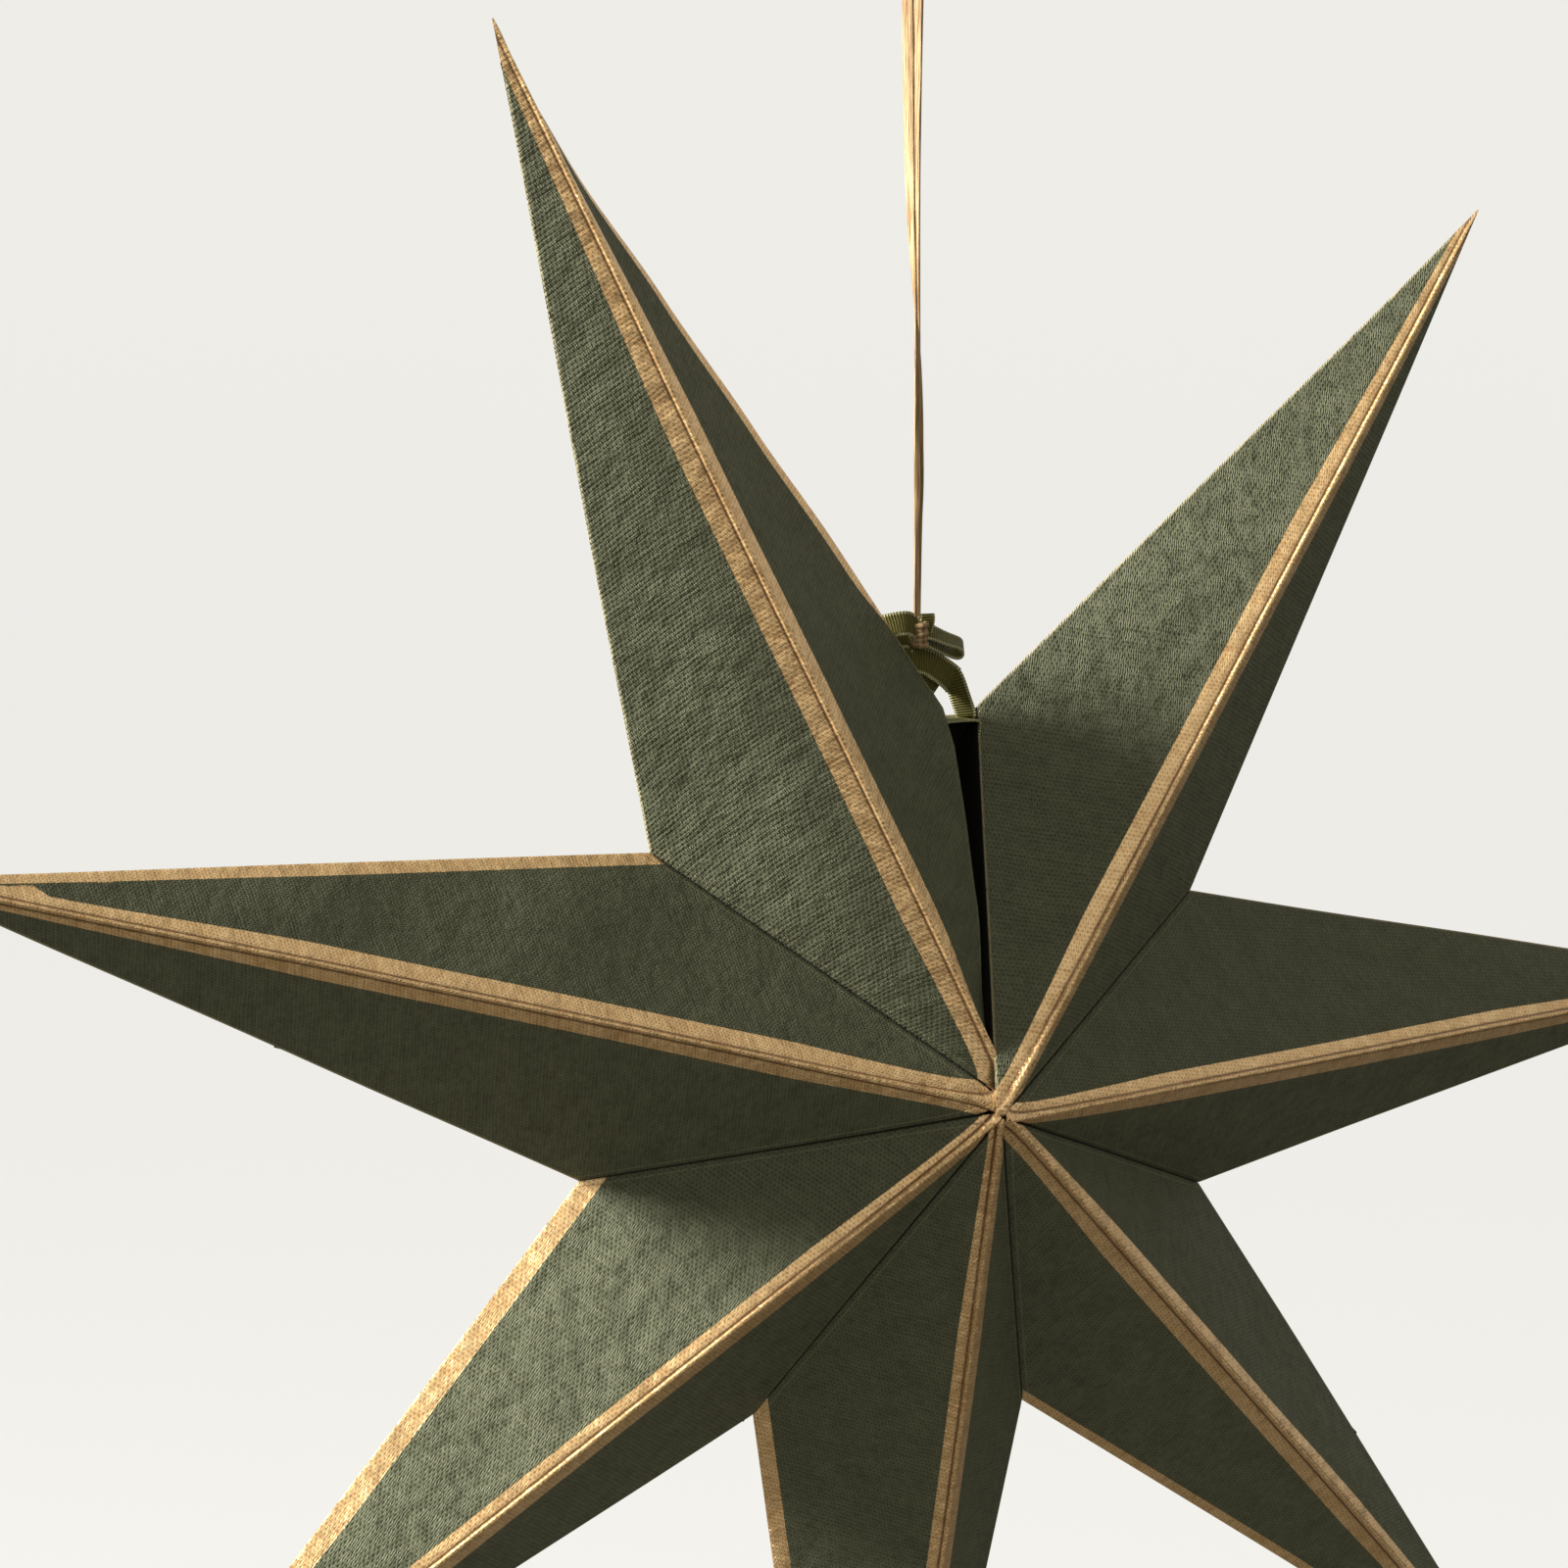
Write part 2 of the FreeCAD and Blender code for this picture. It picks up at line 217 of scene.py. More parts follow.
# The weave lies askew on each sheet, by these degrees, and its ribs are this far apart.
WEAVE_TURN = (14.5, 20, 18, -10, 15, 18, 21)
RIB_GAP = (1.16, 0.92, 1.14, 0.98, 1.1, 1.1, 1.18)
# From the valley to its score line and from the middle fold to its groove, in millimetres.
SCORE_LINE = 1.6
GROOVE = 1.2


def linen_paper_finish():
    finish, thread, shader = new_finish("linen_paper_finish", 0.6, Specular_IOR_Level=0.22,
                                        Coat_Roughness=0.5)

    def two(layer):
        """Both numbers of one map."""
        flat = thread.node("ShaderNodeUVMap", {"uv_map": layer})
        split = thread.node("ShaderNodeSeparateXYZ", None, {0: flat})
        return split, Fibre(thread.tree, split.socket.node.outputs[1])

    along, across = two("sheet")
    middle, side = two("folds")
    inside_gold, valley = two("gold")

    # A plain weave: double ribs one unit apart, closer cross threads, and each thread going
    # over and under in turn.
    drift = thread.grain(along, across, 0.1) * 1.1
    long = thread.grain(along * 1.1, across * 0.09, 1.0, 2.0, 0.6)
    short = thread.grain(along * 0.9, across * 0.5, 1.0, 2.0, 0.6)
    patch = thread.grain(along, across, 0.3, 2.0).step(0.4, 0.62)
    run = along + drift
    row = across * 1.9 + short * 1.2
    rib = run.wave() * 0.7 + (run * 2).wave() * 0.3
    cross = row.wave()
    over = ((run * 0.5).wave() - 0.5) * ((row * 0.5).wave() - 0.5) * 4
    uneven = (long - 0.5) * 0.45 + (short - 0.5) * 0.6
    weave = rib * 0.38 + cross * (patch * 0.3 + 0.16) + over * 0.2 + uneven
    crinkle = thread.grain(along, across, 0.13, 3.0, 0.55)
    speck = thread.grain(along, across, 3.0, 2.0)

    # A pressed score line runs beside each valley. The valley's crease is darkened with painted shade,
    # and the folds and the score line are lightened with a painted highlight.
    score = valley.off(SCORE_LINE).step(0.32, 0.05)
    crease_shade = valley.step(0.24, 0.08)

    tone = (crinkle * 0.3 + weave * 0.6).step(-0.05, 0.8)
    green = tone.blend(colour(76, 80, 60), colour(126, 130, 105))
    # Painted highlight: the folds and the score line are lightened as if they caught the light.
    painted_fold_highlight = side.step(0.95, 0.4) * (speck * 0.6 + 0.6)
    painted_highlight = painted_fold_highlight * 0.8 + score * speck * 0.5
    paper = painted_highlight.blend(green, colour(190, 180, 142))
    # Painted shade: the valley's crease is darkened where the gap between the sheets lies in shadow.
    paper = (crease_shade * 0.85).blend(paper, colour(30, 30, 20))

    # Gold print, pitted between the threads. Beside the pinched fold a dark line of painted shade lies in
    # the groove.
    edge = inside_gold + (speck - 0.5) * 0.35
    pits = (speck * 0.7 + weave * -0.35 + 0.2).step(0.55, 0.8) * 0.4
    gold = edge.step(-0.08, 0.08)
    shine = (crinkle * 0.3 + weave * 0.6).step(0.0, 0.7)
    metal = shine.blend(colour(186, 143, 89), colour(244, 210, 154))
    groove_shade = middle.off(GROOVE).step(0.55, 0.1) * (speck * 0.5 + 0.5)
    metal = groove_shade.most(pits).blend(metal, colour(88, 58, 30))

    feed(thread, shader,
         Base_Color=gold.blend(paper, metal),
         Metallic=gold * 0.6,
         Coat_Weight=gold * 0.5,
         Roughness=gold * -0.2 + 0.64 + (speck - 0.5) * 0.1)
    fine = raised(thread, weave * (1 - gold * 0.6) + speck * 0.15 - score * 0.4, 0.0003)
    coarse = raised(thread, crinkle, 0.0012)
    thread.tree.links.new(coarse.socket, fine.socket.node.inputs["Normal"])
    feed(thread, shader, Normal=fine)
    return finish


def shade_lining_finish():
    """The unprinted inner side of the sheets, painted near black as shade for the dark inside of the
    star; it shows only through the slit.
    """
    return new_finish("shade_lining_finish", 0.9, Specular_IOR_Level=0.1, Base_Color=colour(30, 29, 27))[0]


linen_paper = linen_paper_finish()
shade_lining = shade_lining_finish()


def polar(reach, turn, depth=0.0):
    """A place that is given from the star's centre, with the turn in degrees."""
    angle = math.radians(turn)
    return CENTRE + Vector((reach * math.cos(angle), depth, reach * math.sin(angle)))


# Corners nearer than this are one, and a cut this near to a corner goes through it.
SAME_PLACE = 0.00002
CUT_SNAP = 1e-6


def flat_panel(corners, scores):
    """A flat sheet through four corners, cut into strips alongside the given edges."""
    bpy.ops.object.select_all(action="DESELECT")
    bpy.ops.mesh.primitive_plane_add(size=0.1)
    panel = bpy.context.object
    for vertex, corner in zip((0, 1, 3, 2), corners):
        panel.data.vertices[vertex].co = corner
    panel.data.update()
    middle = sum(corners, Vector()) / 4
    normal = (corners[1] - corners[0]).cross(corners[2] - corners[1]).normalized()
    bpy.ops.object.mode_set(mode="EDIT")
    for start, end, distances in scores:
        inward = normal.cross(end - start).normalized()
        if inward.dot(middle - start) < 0:
            inward = -inward
        for distance in distances:
            bpy.ops.mesh.select_all(action="SELECT")
            bpy.ops.mesh.bisect(plane_co=start + inward * (distance * MM), plane_no=inward,
                                threshold=CUT_SNAP)
    bpy.ops.object.mode_set(mode="OBJECT")
    return panel


def join(pieces, name):
    bpy.ops.object.select_all(action="DESELECT")
    for piece in pieces:
        piece.select_set(True)
    bpy.context.view_layer.objects.active = pieces[0]
    bpy.ops.object.join()
    pieces[0].name = name
    pieces[0].data.name = name
    return pieces[0]


def off_line(place, start, end):
    """How far a place is from the line through two others, in millimetres."""
    run = (end - start).normalized()
    return (place - start - run * (place - start).dot(run)).length / MM


def between(value, knots):
    """A smooth curve through a few knots of distance and height."""
    for (low, first), (high, second) in zip(knots, knots[1:]):
        if value <= high:
            share = (value - low) / (high - low)
            return first + (second - first) * share * share * (3 - 2 * share)
    return knots[-1][1]


# Where the middle folds and the valleys end at the hub, from where they would all meet, in
# millimetres. The first two points are tucked behind the edge of the seventh, and the
# first and last valleys are the two sides of the slit.
FOLD_ENDS = ((9.65, 3.6, -1.55), (1.0, 1.9, 2.6), (0, 0, 0), (0.2, 0, 0), (2.0, 0.4, -0.2),
             (0.8, 0.2, -1.5), (-0.3, -0.6, 0.3))
VALLEY_ENDS = ((2.4, 5.0, -0.3), (1.0, 1.9, 5.2), (0.5, 0.8, 1.5), (-0.2, 0.4, -0.2), (0.3, 0.5, -0.5),
               (1.4, 0.5, -0.4), (0.8, 0.4, 0.4), (-2.6, -0.8, 0.4))
# Each panel is cut at these distances from its middle fold, side crease, valley and margin
# fold, and at equal bands from the hub to the tip.
MIDDLE_SCORES = (0.35, 0.7, 1.05, 1.5, 2.1, 3.0, 6.5, 12, 19, 27, 36)
SIDE_SCORES = (0.4, 0.9, 1.6, 3.0)
VALLEY_SCORES = (0.35, 0.8, 1.4, 2.2, 3.5, 6.0)
MARGIN_SCORES = (0.4, 1.0, 2.0, 4.5)
BAND = 0.0045
# The hub ends of the folds, the blunt tip, and where the margins start from the hub.
HUB_REACH = 0.0003
BLUNT = 0.004
MARGIN_START = 0.005
SLIT_MARGIN_START = 0.02
# Heights across the pinched middle fold, the side crease and the valley, in millimetres.
LIP = ((0, 0.22), (0.35, 0.34), (0.7, 0.1), (1.05, -0.34), (1.5, -0.2), (2.1, -0.04), (3.0, 0))
FOLD = ((0, -0.22), (0.4, -0.05), (0.9, 0))
VALLEY_FOLD = ((0, -0.24), (0.35, -0.06), (0.8, 0.03), (1.4, 0.08), (2.2, 0))
# How far the first sheet bulges toward the slit, from the hub at 0 to the corner at 1, how
# far its upper side is drawn in, from the tip at 0 to the hub at 1, and how its side gold
# fades toward the corner, by the distance from there.
SLIT_BULGE = ((0, 0), (0.2, 0), (0.5, 3.6), (0.72, 4.4), (0.86, 4.4), (0.94, 3.0), (1.01, 0))
DRAWN_IN = ((0, 0), (0.08, 3.4), (0.16, 4.4), (0.28, 2.8), (0.42, 1.3), (0.55, 0), (2, 0))
SIDE_GOLD_FADE = ((0, 0.05), (18, 0.1), (42, 1.0))
# The gold line on the hidden side of a crease, the height and density of the panels' long
# waves, with shorter ones on them, and of the drift of the whole sheet. Without a seed of
# its own the drift would differ at each run.
HIDDEN_GOLD = 0.7
WAVE = 1.3
LONG_WAVES = 22
SHORT_WAVES = 62
SHORT_SHARE = 0.35
DRIFT = 0.55
DRIFT_WAVES = 11
DRIFT_SEED = 94
# The lip fades within the first reach of the tip and grows within the second of the hub,
# and the wall thins within the third of the tip.
LIP_FADES = 0.03
LIP_GROWS = 0.08
WALL_THINS = 0.045
# A reading for what is on no gold or near no valley.
FAR = 9


class FoldLines:
    """Where one sheet's folds run. Side 0 leads and 1 trails, face -1 is the front."""

    def __init__(self, number):
        self.number = number
        self.reach = FIRST_TIP_REACH if number == 1 else TIP_REACH
        before = sum(LEAD[:number - 1]) + sum(TRAIL[:number - 1])
        turn = SLIT_TURN + before + LEAD[number - 1]
        self.tip = polar(self.reach, turn)
        self.out = (self.tip - CENTRE).normalized()
        hub = polar(HUB_REACH, turn, -DEPTH)
        self.hubs = {-1: hub, 1: Vector((hub.x, -hub.y, hub.z))}
        self.corners = [polar(CORNER[number - 1], turn - LEAD[number - 1]),
                        polar(CORNER[number], turn + TRAIL[number - 1])]
        lead = self.corners[0] - CENTRE
        self.square = (lead - self.out * lead.dot(self.out)).normalized()
        self.normals = {}
        for side, corner in enumerate(self.corners):
            for face, end in self.hubs.items():
                normal = (corner - self.tip).cross(end - self.tip).normalized()
                self.normals[side, face] = -normal if normal.y * face < 0 else normal

    def where(self, place):
        """The side and the face that a place is on."""
        side = 0 if (place - CENTRE).dot(self.square) > 0 else 1
        return side, -1 if place.y < 0 else 1

    def on_margin(self, place, side, face):
        """Whether a place is off its panel's plane, on the margin that is turned inward."""
        return abs((place - self.tip).dot(self.normals[side, face])) > SAME_PLACE

    def beside_slit(self, side):
        return (self.number, side) in ((1, 0), (7, 1))

    def distances(self, place, side, face):
        """Millimetres from the middle fold, the side crease and the valley."""
        tip, hub, corner = self.tip, self.hubs[face], self.corners[side]
        return off_line(place, tip, hub), off_line(place, tip, corner), off_line(place, hub, corner)

    def inside_gold(self, place, side, face):
        """Millimetres inside the nearest gold line, and below 0 outside it."""
        fold, edge, valley = self.distances(place, side, face)
        sheet = self.number - 1
        # The lines narrow toward the tip and the hub, on the first sheet most of all.
        from_hub = (place - self.hubs[face]).length
        taper = min(1.0, 0.45 + 0.5 * (place - self.tip).length / 0.1)
        narrowed = min(1.0, 0.6 + 0.4 * from_hub / 0.06)
        if self.number == 1 and side == 0:
            narrowed *= min(1.0, 0.4 + 0.6 * from_hub / 0.05)
        inside = (LEAD_GOLD, TRAIL_GOLD)[side][sheet] * taper * narrowed - fold
        if side == 1:
            return inside
        wide = SIDE_GOLD[sheet] if (face == -1) == GOLD_IN_FRONT[sheet] else HIDDEN_GOLD
        if self.number == 1:
            wide *= between((place - self.corners[0]).length / MM, SIDE_GOLD_FADE)
        return max(inside, wide * (0.3 + 0.7 * taper) - edge)


def front_half(lines):
    """The front's two panels and their glue margins, joined along the folds."""
    tip, hub = lines.tip, lines.hubs[-1]
    front_tip = tip + (hub - tip) * BLUNT
    panels = []
    for side, corner in enumerate(lines.corners):
        side_tip = tip + (corner - tip) * BLUNT
        panels.append(flat_panel((front_tip, hub, corner, side_tip), (
            (front_tip, hub, MIDDLE_SCORES),
            (side_tip, corner, SIDE_SCORES),
            (hub, corner, VALLEY_SCORES))))
        slope = (corner - hub).normalized()
        inward = (Vector((0, 1, 0)) - slope * slope.y).normalized()
        start = hub + slope * (SLIT_MARGIN_START if lines.beside_slit(side) else MARGIN_START)
        # The margin's inner edge runs on to the middle plane, where the back's margin meets it.
        turned = start + inward * MARGIN
        meeting = turned - slope * (turned.y / slope.y)
        panels.append(flat_panel((start, corner, meeting, turned), ((start, corner, MARGIN_SCORES),)))
    half = join(panels, f"point_{lines.number}_folded")
    bpy.ops.object.mode_set(mode="EDIT")
    bpy.ops.mesh.select_all(action="SELECT")
    bpy.ops.mesh.remove_doubles(threshold=SAME_PLACE)
    for count in range(1, int(lines.reach / BAND) + 1):
        bpy.ops.mesh.select_all(action="SELECT")
        bpy.ops.mesh.bisect(plane_co=CENTRE + lines.out * (count * BAND), plane_no=lines.out,
                            threshold=CUT_SNAP)
    bpy.ops.object.mode_set(mode="OBJECT")
    return half


def add_back(piece):
    """The back is folded as the front is."""
    mirror = piece.modifiers.new("back", "MIRROR")
    mirror.use_axis = (False, True, False)
    mirror.merge_threshold = 0.00003
    bpy.ops.object.modifier_apply(modifier="back")
    bpy.ops.object.mode_set(mode="EDIT")
    bpy.ops.mesh.select_all(action="SELECT")
    bpy.ops.mesh.normals_make_consistent(inside=False)
    bpy.ops.object.mode_set(mode="OBJECT")


def lay_print(mesh, lines):
    """Three maps tell the finish where the weave, the folds and the gold lie."""
    number = lines.number
    askew = math.radians(WEAVE_TURN[number - 1])
    gap = RIB_GAP[number - 1]
    for layer in ("sheet", "folds", "gold"):
        mesh.uv_layers.new(name=layer)
    sheet, folds, gold = (mesh.uv_layers[layer] for layer in ("sheet", "folds", "gold"))
    for polygon in mesh.polygons:
        middle = sum((mesh.vertices[i].co for i in polygon.vertices), Vector()) / len(polygon.vertices)
        side, face = lines.where(middle)
        normal = lines.normals[side, face]
        on_margin = lines.on_margin(middle, side, face)
        if polygon.normal.dot(normal) < 0 and not on_margin:
            polygon.flip()
        run = (lines.hubs[face] - lines.tip).normalized()
        aside = normal.cross(run)
        open_fold = number == 7 and side == 1
        for loop in polygon.loop_indices:
            place = mesh.vertices[mesh.loops[loop].vertex_index].co
            fold, edge, valley = lines.distances(place, side, face)
            along = (place - lines.tip).dot(run) / MM
            across = (place - lines.tip).dot(aside) / MM
            # Each sheet and face has its own stretch of the weave.
            sheet.data[loop].uv = (
                (along * math.cos(askew) + across * math.sin(askew)) / gap + 400 * number,
                (across * math.cos(askew) - along * math.sin(askew)) / gap + 200 * face)
            if on_margin:
                folds.data[loop].uv = (fold, edge)
                gold.data[loop].uv = (-FAR, valley)
                continue
            # The seventh sheet's slit edge is no glued valley but an open fold, lightened with the folds'
            # painted highlight.
            folds.data[loop].uv = (fold, min(edge, valley + 0.2) if open_fold else edge)
            gold.data[loop].uv = (lines.inside_gold(place, side, face), FAR if open_fold else valley)


def hand_folded(place, lines):
    """How far a place on the sheet is moved, in millimetres, by folding it by hand."""
    number = lines.number
    side, face = lines.where(place)
    normal = lines.normals[side, face]
    fold, edge, valley = lines.distances(place, side, face)
    on_margin = lines.on_margin(place, side, face)
    tip, hub, corner = lines.tip, lines.hubs[face], lines.corners[side]
    along = (place - CENTRE).dot(lines.out)
    near_tip = min(1.0, max(0.0, (lines.reach - along) / LIP_FADES))
    near_hub = 1.0 + 0.8 * max(0.0, 1 - along / LIP_GROWS)
    reach = (place - hub).dot((corner - hub).normalized()) / (corner - hub).length
    move = Vector()

    # The middle fold is pinched to a lip, and the creases and valleys are soft.
    if fold < LIP[-1][0] and not on_margin:
        lift = lines.normals[0, face] + lines.normals[1, face] if fold < 0.02 else normal
        move += lift.normalized() * between(fold / near_hub ** 0.5, LIP) * near_tip * near_hub
    if edge < FOLD[-1][0] and not on_margin:
        pull = lines.normals[side, -1] + lines.normals[side, 1] if edge < 0.02 else normal
        move += pull.normalized() * between(edge, FOLD) * near_tip
    if valley < VALLEY_FOLD[-1][0] and not on_margin:
        slack = min(1.0, max(0.0, (place - corner).length / 0.004))
        move += normal * between(valley, VALLEY_FOLD) * slack

    # The panels wave a little between their folds, and the whole sheet is a little out of true.
    calm = min(fold - 2.5, edge - 1.5, valley - 1.5)
    if calm > 0 and not on_margin:
        share = min(1.0, calm / 14)
        share = share * share * (3 - 2 * share)
        ripple = noise.noise(place * LONG_WAVES + Vector((number * 7.3, face * 3.1, 0)))
        shorter = noise.noise(place * SHORT_WAVES + Vector((number * 3.7, face * 5.9, 2)))
        ripple += SHORT_SHARE * shorter
        move += normal * ripple * share * WAVE
    drift = noise.noise_vector(place * DRIFT_WAVES)
    move += Vector((drift.x, 0.3 * drift.y, drift.z)) * DRIFT * min(1, place.length / 0.1)

    # The first sheet bulges toward the slit, and its upper side is drawn in.
    if number == 1 and face == -1 and side == 0 and 0 < reach < 1:
        bulge = between(reach, SLIT_BULGE) * math.exp(-(valley / 26) ** 2)
        move += normal * bulge * min(1, fold / 14)
    if number == 1 and side == 0 and not on_margin:
        drawn = between((place - tip).length / lines.reach, DRAWN_IN)
        move -= lines.square * (drawn * fold / max(0.001, fold + edge))

    # The front's ends at the hub are drawn aside, which fades out toward the tip and corner.
    if face == -1:
        share = 1 - reach if on_margin else edge / off_line(hub, tip, corner)
        turn = 1.0 if on_margin else fold / max(0.001, fold + valley)
        ends = Vector(FOLD_ENDS[number - 1]).lerp(Vector(VALLEY_ENDS[number - 1 + side]), turn)
        move += ends * min(1, max(0, share))
    return move


def star_point(number):
    lines = FoldLines(number)
    piece = front_half(lines)
    add_back(piece)
    mesh = piece.data
    lay_print(mesh, lines)
    moves = [hand_folded(vertex.co.copy(), lines) * MM for vertex in mesh.vertices]
    for vertex, move in zip(mesh.vertices, moves):
        vertex.co += move

    # The wall thins toward the tip, where the two sides meet.
    thinning = piece.vertex_groups.new(name="thinning")
    for vertex in mesh.vertices:
        share = 0.05 + (vertex.co - lines.tip).length / WALL_THINS
        thinning.add([vertex.index], min(1.0, share), "REPLACE")
    wall = piece.modifiers.new("paper", "SOLIDIFY")
    wall.vertex_group = "thinning"
    wall.thickness = PAPER
    wall.offset = -1
    # The inner side takes the second finish, the lining's near-black painted shade.
    wall.material_offset = 1
    piece.data.materials.append(linen_paper)
    piece.data.materials.append(shade_lining)
    bpy.context.view_layer.objects.active = piece
    bpy.ops.object.modifier_apply(modifier="paper")
    bpy.ops.object.shade_smooth_by_angle(angle=math.radians(32))
    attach(piece, "root")
    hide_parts(f"point_{number}")


noise.seed_set(DRIFT_SEED)
for sheet_number in range(1, len(LEAD) + 1):
    star_point(sheet_number)


# Slit flap: a strip of the same heavy paper, unprinted, glued inside the back of the slit
# below the strap, so that no light shows through. Its near-black lining is painted shade
# for the dark inside of the slit. It reaches behind the first and the seventh sheet by these degrees.
BEHIND_FIRST = 2.0
BEHIND_SEVENTH = 1.2
FLAP_TOP = 0.1002
FLAP_TOP_DEPTH = 0.0025
FLAP_FOOT = 0.0015
INSIDE_BACK = 0.0018


def slit_shade_flap():
    bpy.ops.object.select_all(action="DESELECT")
    turns = (SLIT_TURN + BEHIND_FIRST, SLIT_TURN - 360 + sum(LEAD) + sum(TRAIL) - BEHIND_SEVENTH)
    upper = [polar(FLAP_TOP, turn, FLAP_TOP_DEPTH) for turn in turns]
    lower = [polar(FLAP_FOOT, turn, DEPTH - INSIDE_BACK) for turn in turns]
    flap = flat_panel((upper[0], upper[1], lower[1], lower[0]), ())
    flap.name = "slit_shade_flap"
    wall = flap.modifiers.new("paper", "SOLIDIFY")
    wall.thickness = PAPER
    bpy.ops.object.modifier_apply(modifier="paper")
    flap.data.materials.append(shade_lining)
    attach(flap, "root")


slit_shade_flap()


# Closing strap: a short length of grosgrain ribbon, dark green with a pale edge. It is
# glued flat to the paper on both sides of the slit, just under the slit's corners. The
# ribbon's width and thickness are in millimetres.
RIBBON = 7.0
CLOTH = 0.45


def grosgrain_finish():
    finish, thread, shader = new_finish("grosgrain_finish", 0.55, Sheen_Weight=0.05,
                                        Specular_IOR_Level=0.12)
    flat = thread.node("ShaderNodeUVMap", {"uv_map": "lie"})
    along = thread.node("ShaderNodeSeparateXYZ", None, {0: flat})
    across = Fibre(thread.tree, along.socket.node.outputs[1])
    rib = (along * 1.35).wave()
    fuzz = thread.grain(along, across, 3.0)
    selvedge = across.off(RIBBON / 2).step(RIBBON / 2 - 0.95, RIBBON / 2 - 0.5)
    cloth = (rib * 0.6 + fuzz * 0.5 - 0.1).blend(colour(54, 50, 22), colour(140, 136, 70))
    edge = (rib * 0.8 + fuzz * 0.4 - 0.1).blend(colour(112, 110, 60), colour(238, 236, 190))
    feed(thread, shader, Base_Color=selvedge.blend(cloth, edge),
         Normal=raised(thread, rib + fuzz * 0.3, 0.00022))
    return finish


grosgrain = grosgrain_finish()


def star_place(x, y, z):
    """A place in millimetres from the star's centre."""
    return CENTRE + Vector((x, y, z)) * MM


def ribbon_strip(name, stations, width=RIBBON):
    """A strip of ribbon drawn out through its stations, each a middle and a width direction."""
    bpy.ops.object.select_all(action="DESELECT")
    bpy.ops.mesh.primitive_plane_add(size=width * MM)
    strip = bpy.context.object
    strip.name = name
    bpy.ops.object.mode_set(mode="EDIT")
    bpy.ops.mesh.select_mode(type="VERT")
    for station in range(len(stations) - 2):
        bpy.ops.mesh.select_all(action="DESELECT")
        bpy.ops.object.mode_set(mode="OBJECT")
        last = len(strip.data.vertices)
        for vertex in strip.data.vertices:
            vertex.select = vertex.index >= last - 2
        bpy.ops.object.mode_set(mode="EDIT")
        bpy.ops.mesh.extrude_region_move(TRANSFORM_OT_translate={"value": (0, width * MM, 0)})
    bpy.ops.object.mode_set(mode="OBJECT")
    mesh = strip.data
    lengths = [0.0]
    for (before, _), (after, _) in zip(stations, stations[1:]):
        lengths.append(lengths[-1] + (Vector(after) - Vector(before)).length)
    for index, (middle, across) in enumerate(stations):
        across = Vector(across).normalized() * (width / 2)
        for side in (0, 1):
            vertex = mesh.vertices[index * 2 + side]
            vertex.co = star_place(*(Vector(middle) + across * (2 * side - 1)))
    lie = mesh.uv_layers.new(name="lie")
    for loop in mesh.loops:
        index, side = divmod(loop.vertex_index, 2)
        lie.data[loop.index].uv = (lengths[index], RIBBON * side)
    round_off = strip.modifiers.new("round", "SUBSURF")
    round_off.levels = round_off.render_levels = 3
    round_off.boundary_smooth = "PRESERVE_CORNERS"
    wall = strip.modifiers.new("cloth", "SOLIDIFY")
    wall.thickness = CLOTH * MM
    wall.offset = 0
    for modifier in ("round", "cloth"):
        bpy.ops.object.modifier_apply(modifier=modifier)
    strip.data.materials.append(grosgrain)
    bpy.ops.object.shade_smooth_by_angle(angle=math.radians(40))
    return strip


strap = ribbon_strip("closing_strap_ribbon", [
    ((7.4, 0, 88.0), (0, -1, 0)), ((7.6, 0, 94.0), (0, -1, -0.1)),
    ((7.5, 0, 97.6), (0, -1, -0.2)), ((8.0, 0, 98.5), (0, -1, -0.15)),
    ((9.6, 0, 98.7), (0, -1, -0.12)), ((14.0, 0, 98.8), (0, -1, -0.12)),
    ((18.6, 0, 98.7), (0, -1, -0.12)), ((19.9, 0, 98.4), (0, -1, -0.1)),
    ((20.2, 0, 97.2), (0, -1, 0)), ((19.5, 0, 94.0), (0, -1, 0)),
    ((18.2, 0, 88.0), (0, -1, 0))])
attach(strap, "root")
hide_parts("closing_strap")


# Bow: the same ribbon, tied over the cord's ends above the slit. Its long leg crosses to
# the right and drops to the strap, and it has two loops, a short tab and a tail.
leg = ribbon_strip("leg", [
    ((-9.0, 4.4, 114.6), (0, 0, 1)), ((-5.0, 2.6, 115.1), (0, 0, 1)),
    ((-1.0, 1.2, 115.4), (-0.05, 0.1, 1)), ((3.4, 0.2, 115.2), (0.05, 0.2, 1)),
    ((7.0, -0.4, 113.5), (0.35, 0.1, 1)), ((10.2, -0.7, 111.4), (0.5, 0, 1)),
    ((13.0, -0.4, 109.4), (0.6, -0.1, 1)), ((14.0, 0.6, 108.8), (0.6, -0.2, 1))], width=7.4)
drop = ribbon_strip("drop", [
    ((11.2, 1.0, 111.8), (0.7, -0.2, 0.7)), ((12.9, 0.2, 110.8), (0.6, -0.6, 0.5)),
    ((13.7, -0.7, 108.6), (0.55, -0.8, 0.3)), ((14.5, -1.1, 105.8), (0.55, -0.8, 0.25)),
    ((15.6, -1.3, 102.8), (0.55, -0.8, 0.2)), ((16.6, -1.4, 100.4), (0.55, -0.8, 0.15)),
    ((17.0, -1.0, 99.0), (0.55, -0.8, 0.1)), ((16.8, 1.2, 98.9), (0.8, -0.5, 0))], width=5.9)
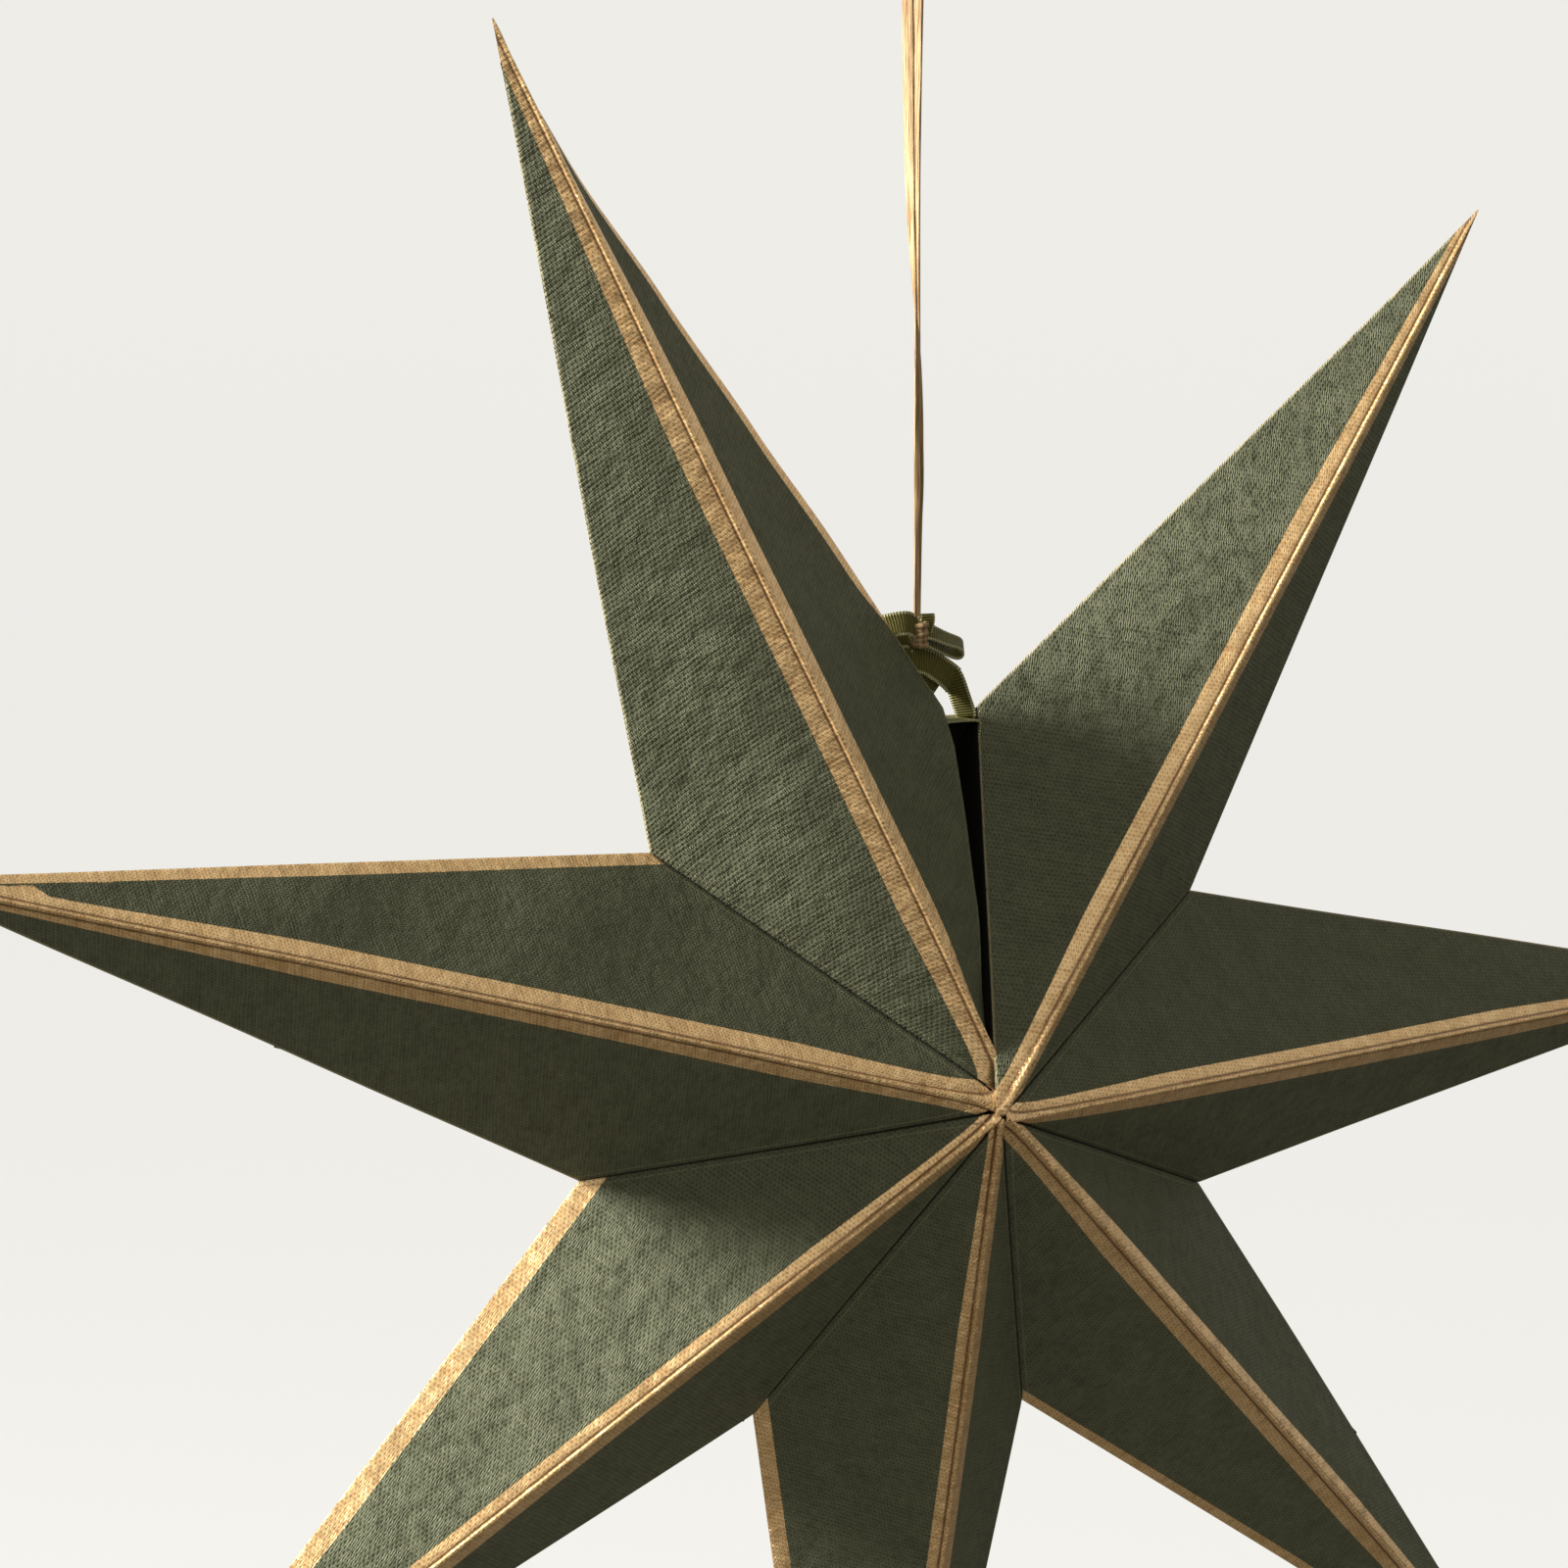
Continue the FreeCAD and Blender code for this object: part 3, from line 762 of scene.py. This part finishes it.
left_loop = ribbon_strip("left_loop", [
    ((2.0, -0.5, 121.8), (0.3, 0.1, 1)), ((0.9, -0.9, 123.6), (0.2, 0.1, 1)),
    ((-0.6, -1.1, 125.2), (0.05, 0.2, 1)), ((-4.0, -0.2, 125.0), (-0.1, 0.3, 1)),
    ((-8.0, 2.4, 123.9), (-0.2, 0.4, 1)), ((-10.2, 5.4, 122.8), (-0.3, 0.4, 1)),
    ((-9.4, 7.0, 121.4), (-0.2, 0.4, 1)), ((-5.6, 5.0, 119.6), (0, 0.3, 1)),
    ((-2.0, 2.6, 119.2), (0, 0.1, 1)), ((1.2, 0.9, 120.2), (0, 0, 1))], width=6.4)
right_loop = ribbon_strip("right_loop", [
    ((3.6, 0.4, 123.0), (-0.4, -0.7, -0.7)), ((6.6, -0.2, 122.2), (-0.45, -0.75, -0.6)),
    ((10.0, -0.4, 120.6), (-0.45, -0.75, -0.5)), ((13.4, -0.3, 119.4), (-0.45, -0.75, -0.44)),
    ((16.2, 0.0, 118.6), (-0.45, -0.75, -0.4)), ((17.2, 0.3, 117.0), (-0.45, -0.75, -0.4)),
    ((15.6, 0.4, 115.6), (-0.45, -0.75, -0.42)), ((11.6, 0.3, 117.2), (-0.45, -0.75, -0.5)),
    ((7.0, 0.2, 119.4), (-0.45, -0.75, -0.55)), ((3.6, 0.4, 121.0), (-0.42, -0.6, -0.4))], width=6.2)
tab = ribbon_strip("tab", [
    ((3.9, 0.2, 120.4), (1, -0.3, 0.1)), ((4.7, -0.4, 123.4), (1, -0.3, 0.05)),
    ((5.2, -0.4, 126.2), (1, -0.3, 0)), ((5.3, 0.4, 127.4), (1, -0.3, 0)),
    ((5.4, 1.2, 125.6), (1, -0.3, 0.1))], width=4.0)
tail = ribbon_strip("tail", [
    ((2.4, 1.8, 111.8), (0.7, 0, 1)), ((5.2, 1.6, 110.4), (0.7, 0, 1)),
    ((7.6, 1.4, 109.0), (0.7, -0.1, 1)), ((9.6, 0.8, 107.8), (0.7, -0.2, 1))], width=5.4)
bow = join([leg, drop, left_loop, right_loop, tab, tail], "bow_ribbon")
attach(bow, "root")
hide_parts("bow")


# Knot: the cord's ends are wound five times round the middle of the bow, each turn a
# little out of line with the last. Its sizes are in millimetres.
KNOT_TURNS = 5
KNOT_TOP = 124.2
KNOT_ASIDE = 2.6
TURN_GAP = 1.25
STRAND = 0.85


def knot_turn(height, lean, reach):
    bpy.ops.object.select_all(action="DESELECT")
    bpy.ops.mesh.primitive_torus_add(location=star_place(KNOT_ASIDE, 0.0, height),
                                     rotation=(lean, -0.12 + lean, 0),
                                     major_radius=reach * MM, minor_radius=STRAND * MM,
                                     major_segments=48, minor_segments=12)
    turn = bpy.context.object
    turn.scale = (0.92, 1.05, 1.0)
    bpy.ops.object.transform_apply(location=True, rotation=True, scale=True)
    turn.data.materials.append(raffia)
    return turn


knot = join([knot_turn(KNOT_TOP - TURN_GAP * count, 0.16 * math.sin(count * 2.1),
                       1.8 + 0.14 * math.cos(count * 3))
             for count in range(KNOT_TURNS)], "knot_turns")
bpy.ops.object.shade_smooth()
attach(knot, "root")


# The room: a plain pale floor below the star, a soft window on its left and a little
# behind it, a weak fill in front and an even light all round. The floor looks pale to the
# camera and sends little light back up.
FLOOR_SIZE = 60
FLOOR_HEIGHT = -1.1
FLOOR_GLOW = 0.785
EVEN_LIGHT = (0.22, 0.196, 0.155, 1)
FAR_WALL = colour(238, 237, 232)


def plain_floor():
    bpy.ops.object.select_all(action="DESELECT")
    bpy.ops.mesh.primitive_plane_add(size=FLOOR_SIZE, location=(0, 0, FLOOR_HEIGHT))
    ground = bpy.context.object
    ground.name = "floor"
    finish, thread, shader = new_finish("floor_finish", 0.9, Specular_IOR_Level=0.1)
    shader.inputs["Base Color"].default_value = colour(104, 103, 100)
    shader.inputs["Emission Color"].default_value = colour(255, 254, 250)
    seen = thread.node("ShaderNodeLightPath")
    thread.tree.links.new((seen * FLOOR_GLOW).socket, shader.inputs["Emission Strength"])
    ground.data.materials.append(finish)


def soft_lamp(name, place, size, power, tint):
    """A round lamp that is aimed at the star's centre."""
    bpy.ops.object.light_add(type="AREA", location=place)
    lamp = bpy.context.object
    lamp.name = name
    lamp.data.shape = "DISK"
    lamp.data.size = size
    lamp.data.energy = power
    lamp.data.color = tint
    lamp.rotation_euler = (CENTRE - Vector(place)).to_track_quat("-Z", "Y").to_euler()


plain_floor()
soft_lamp("window", (-2.24, 0.70, 0.90), size=0.9, power=250, tint=(1.0, 0.96, 0.9))
soft_lamp("front_fill", (-0.6, -2.6, 0.9), size=2.0, power=5, tint=(1.0, 1.0, 1.0))

# The camera and every reflection see a pale wall all round, and the rest takes the even light.
world = bpy.data.worlds.new("plain_room")
bpy.context.scene.world = world
world.use_nodes = True
room = Fibre(world.node_tree)
light_path = room.node("ShaderNodeLightPath")
seen = light_path.most(Fibre(world.node_tree, light_path.socket.node.outputs["Is Glossy Ray"]))
sky = world.node_tree.nodes["Background"]
plain = seen.blend(EVEN_LIGHT, FAR_WALL)
world.node_tree.links.new(plain.socket, sky.inputs["Color"])

bpy.context.scene.view_settings.view_transform = "Standard"
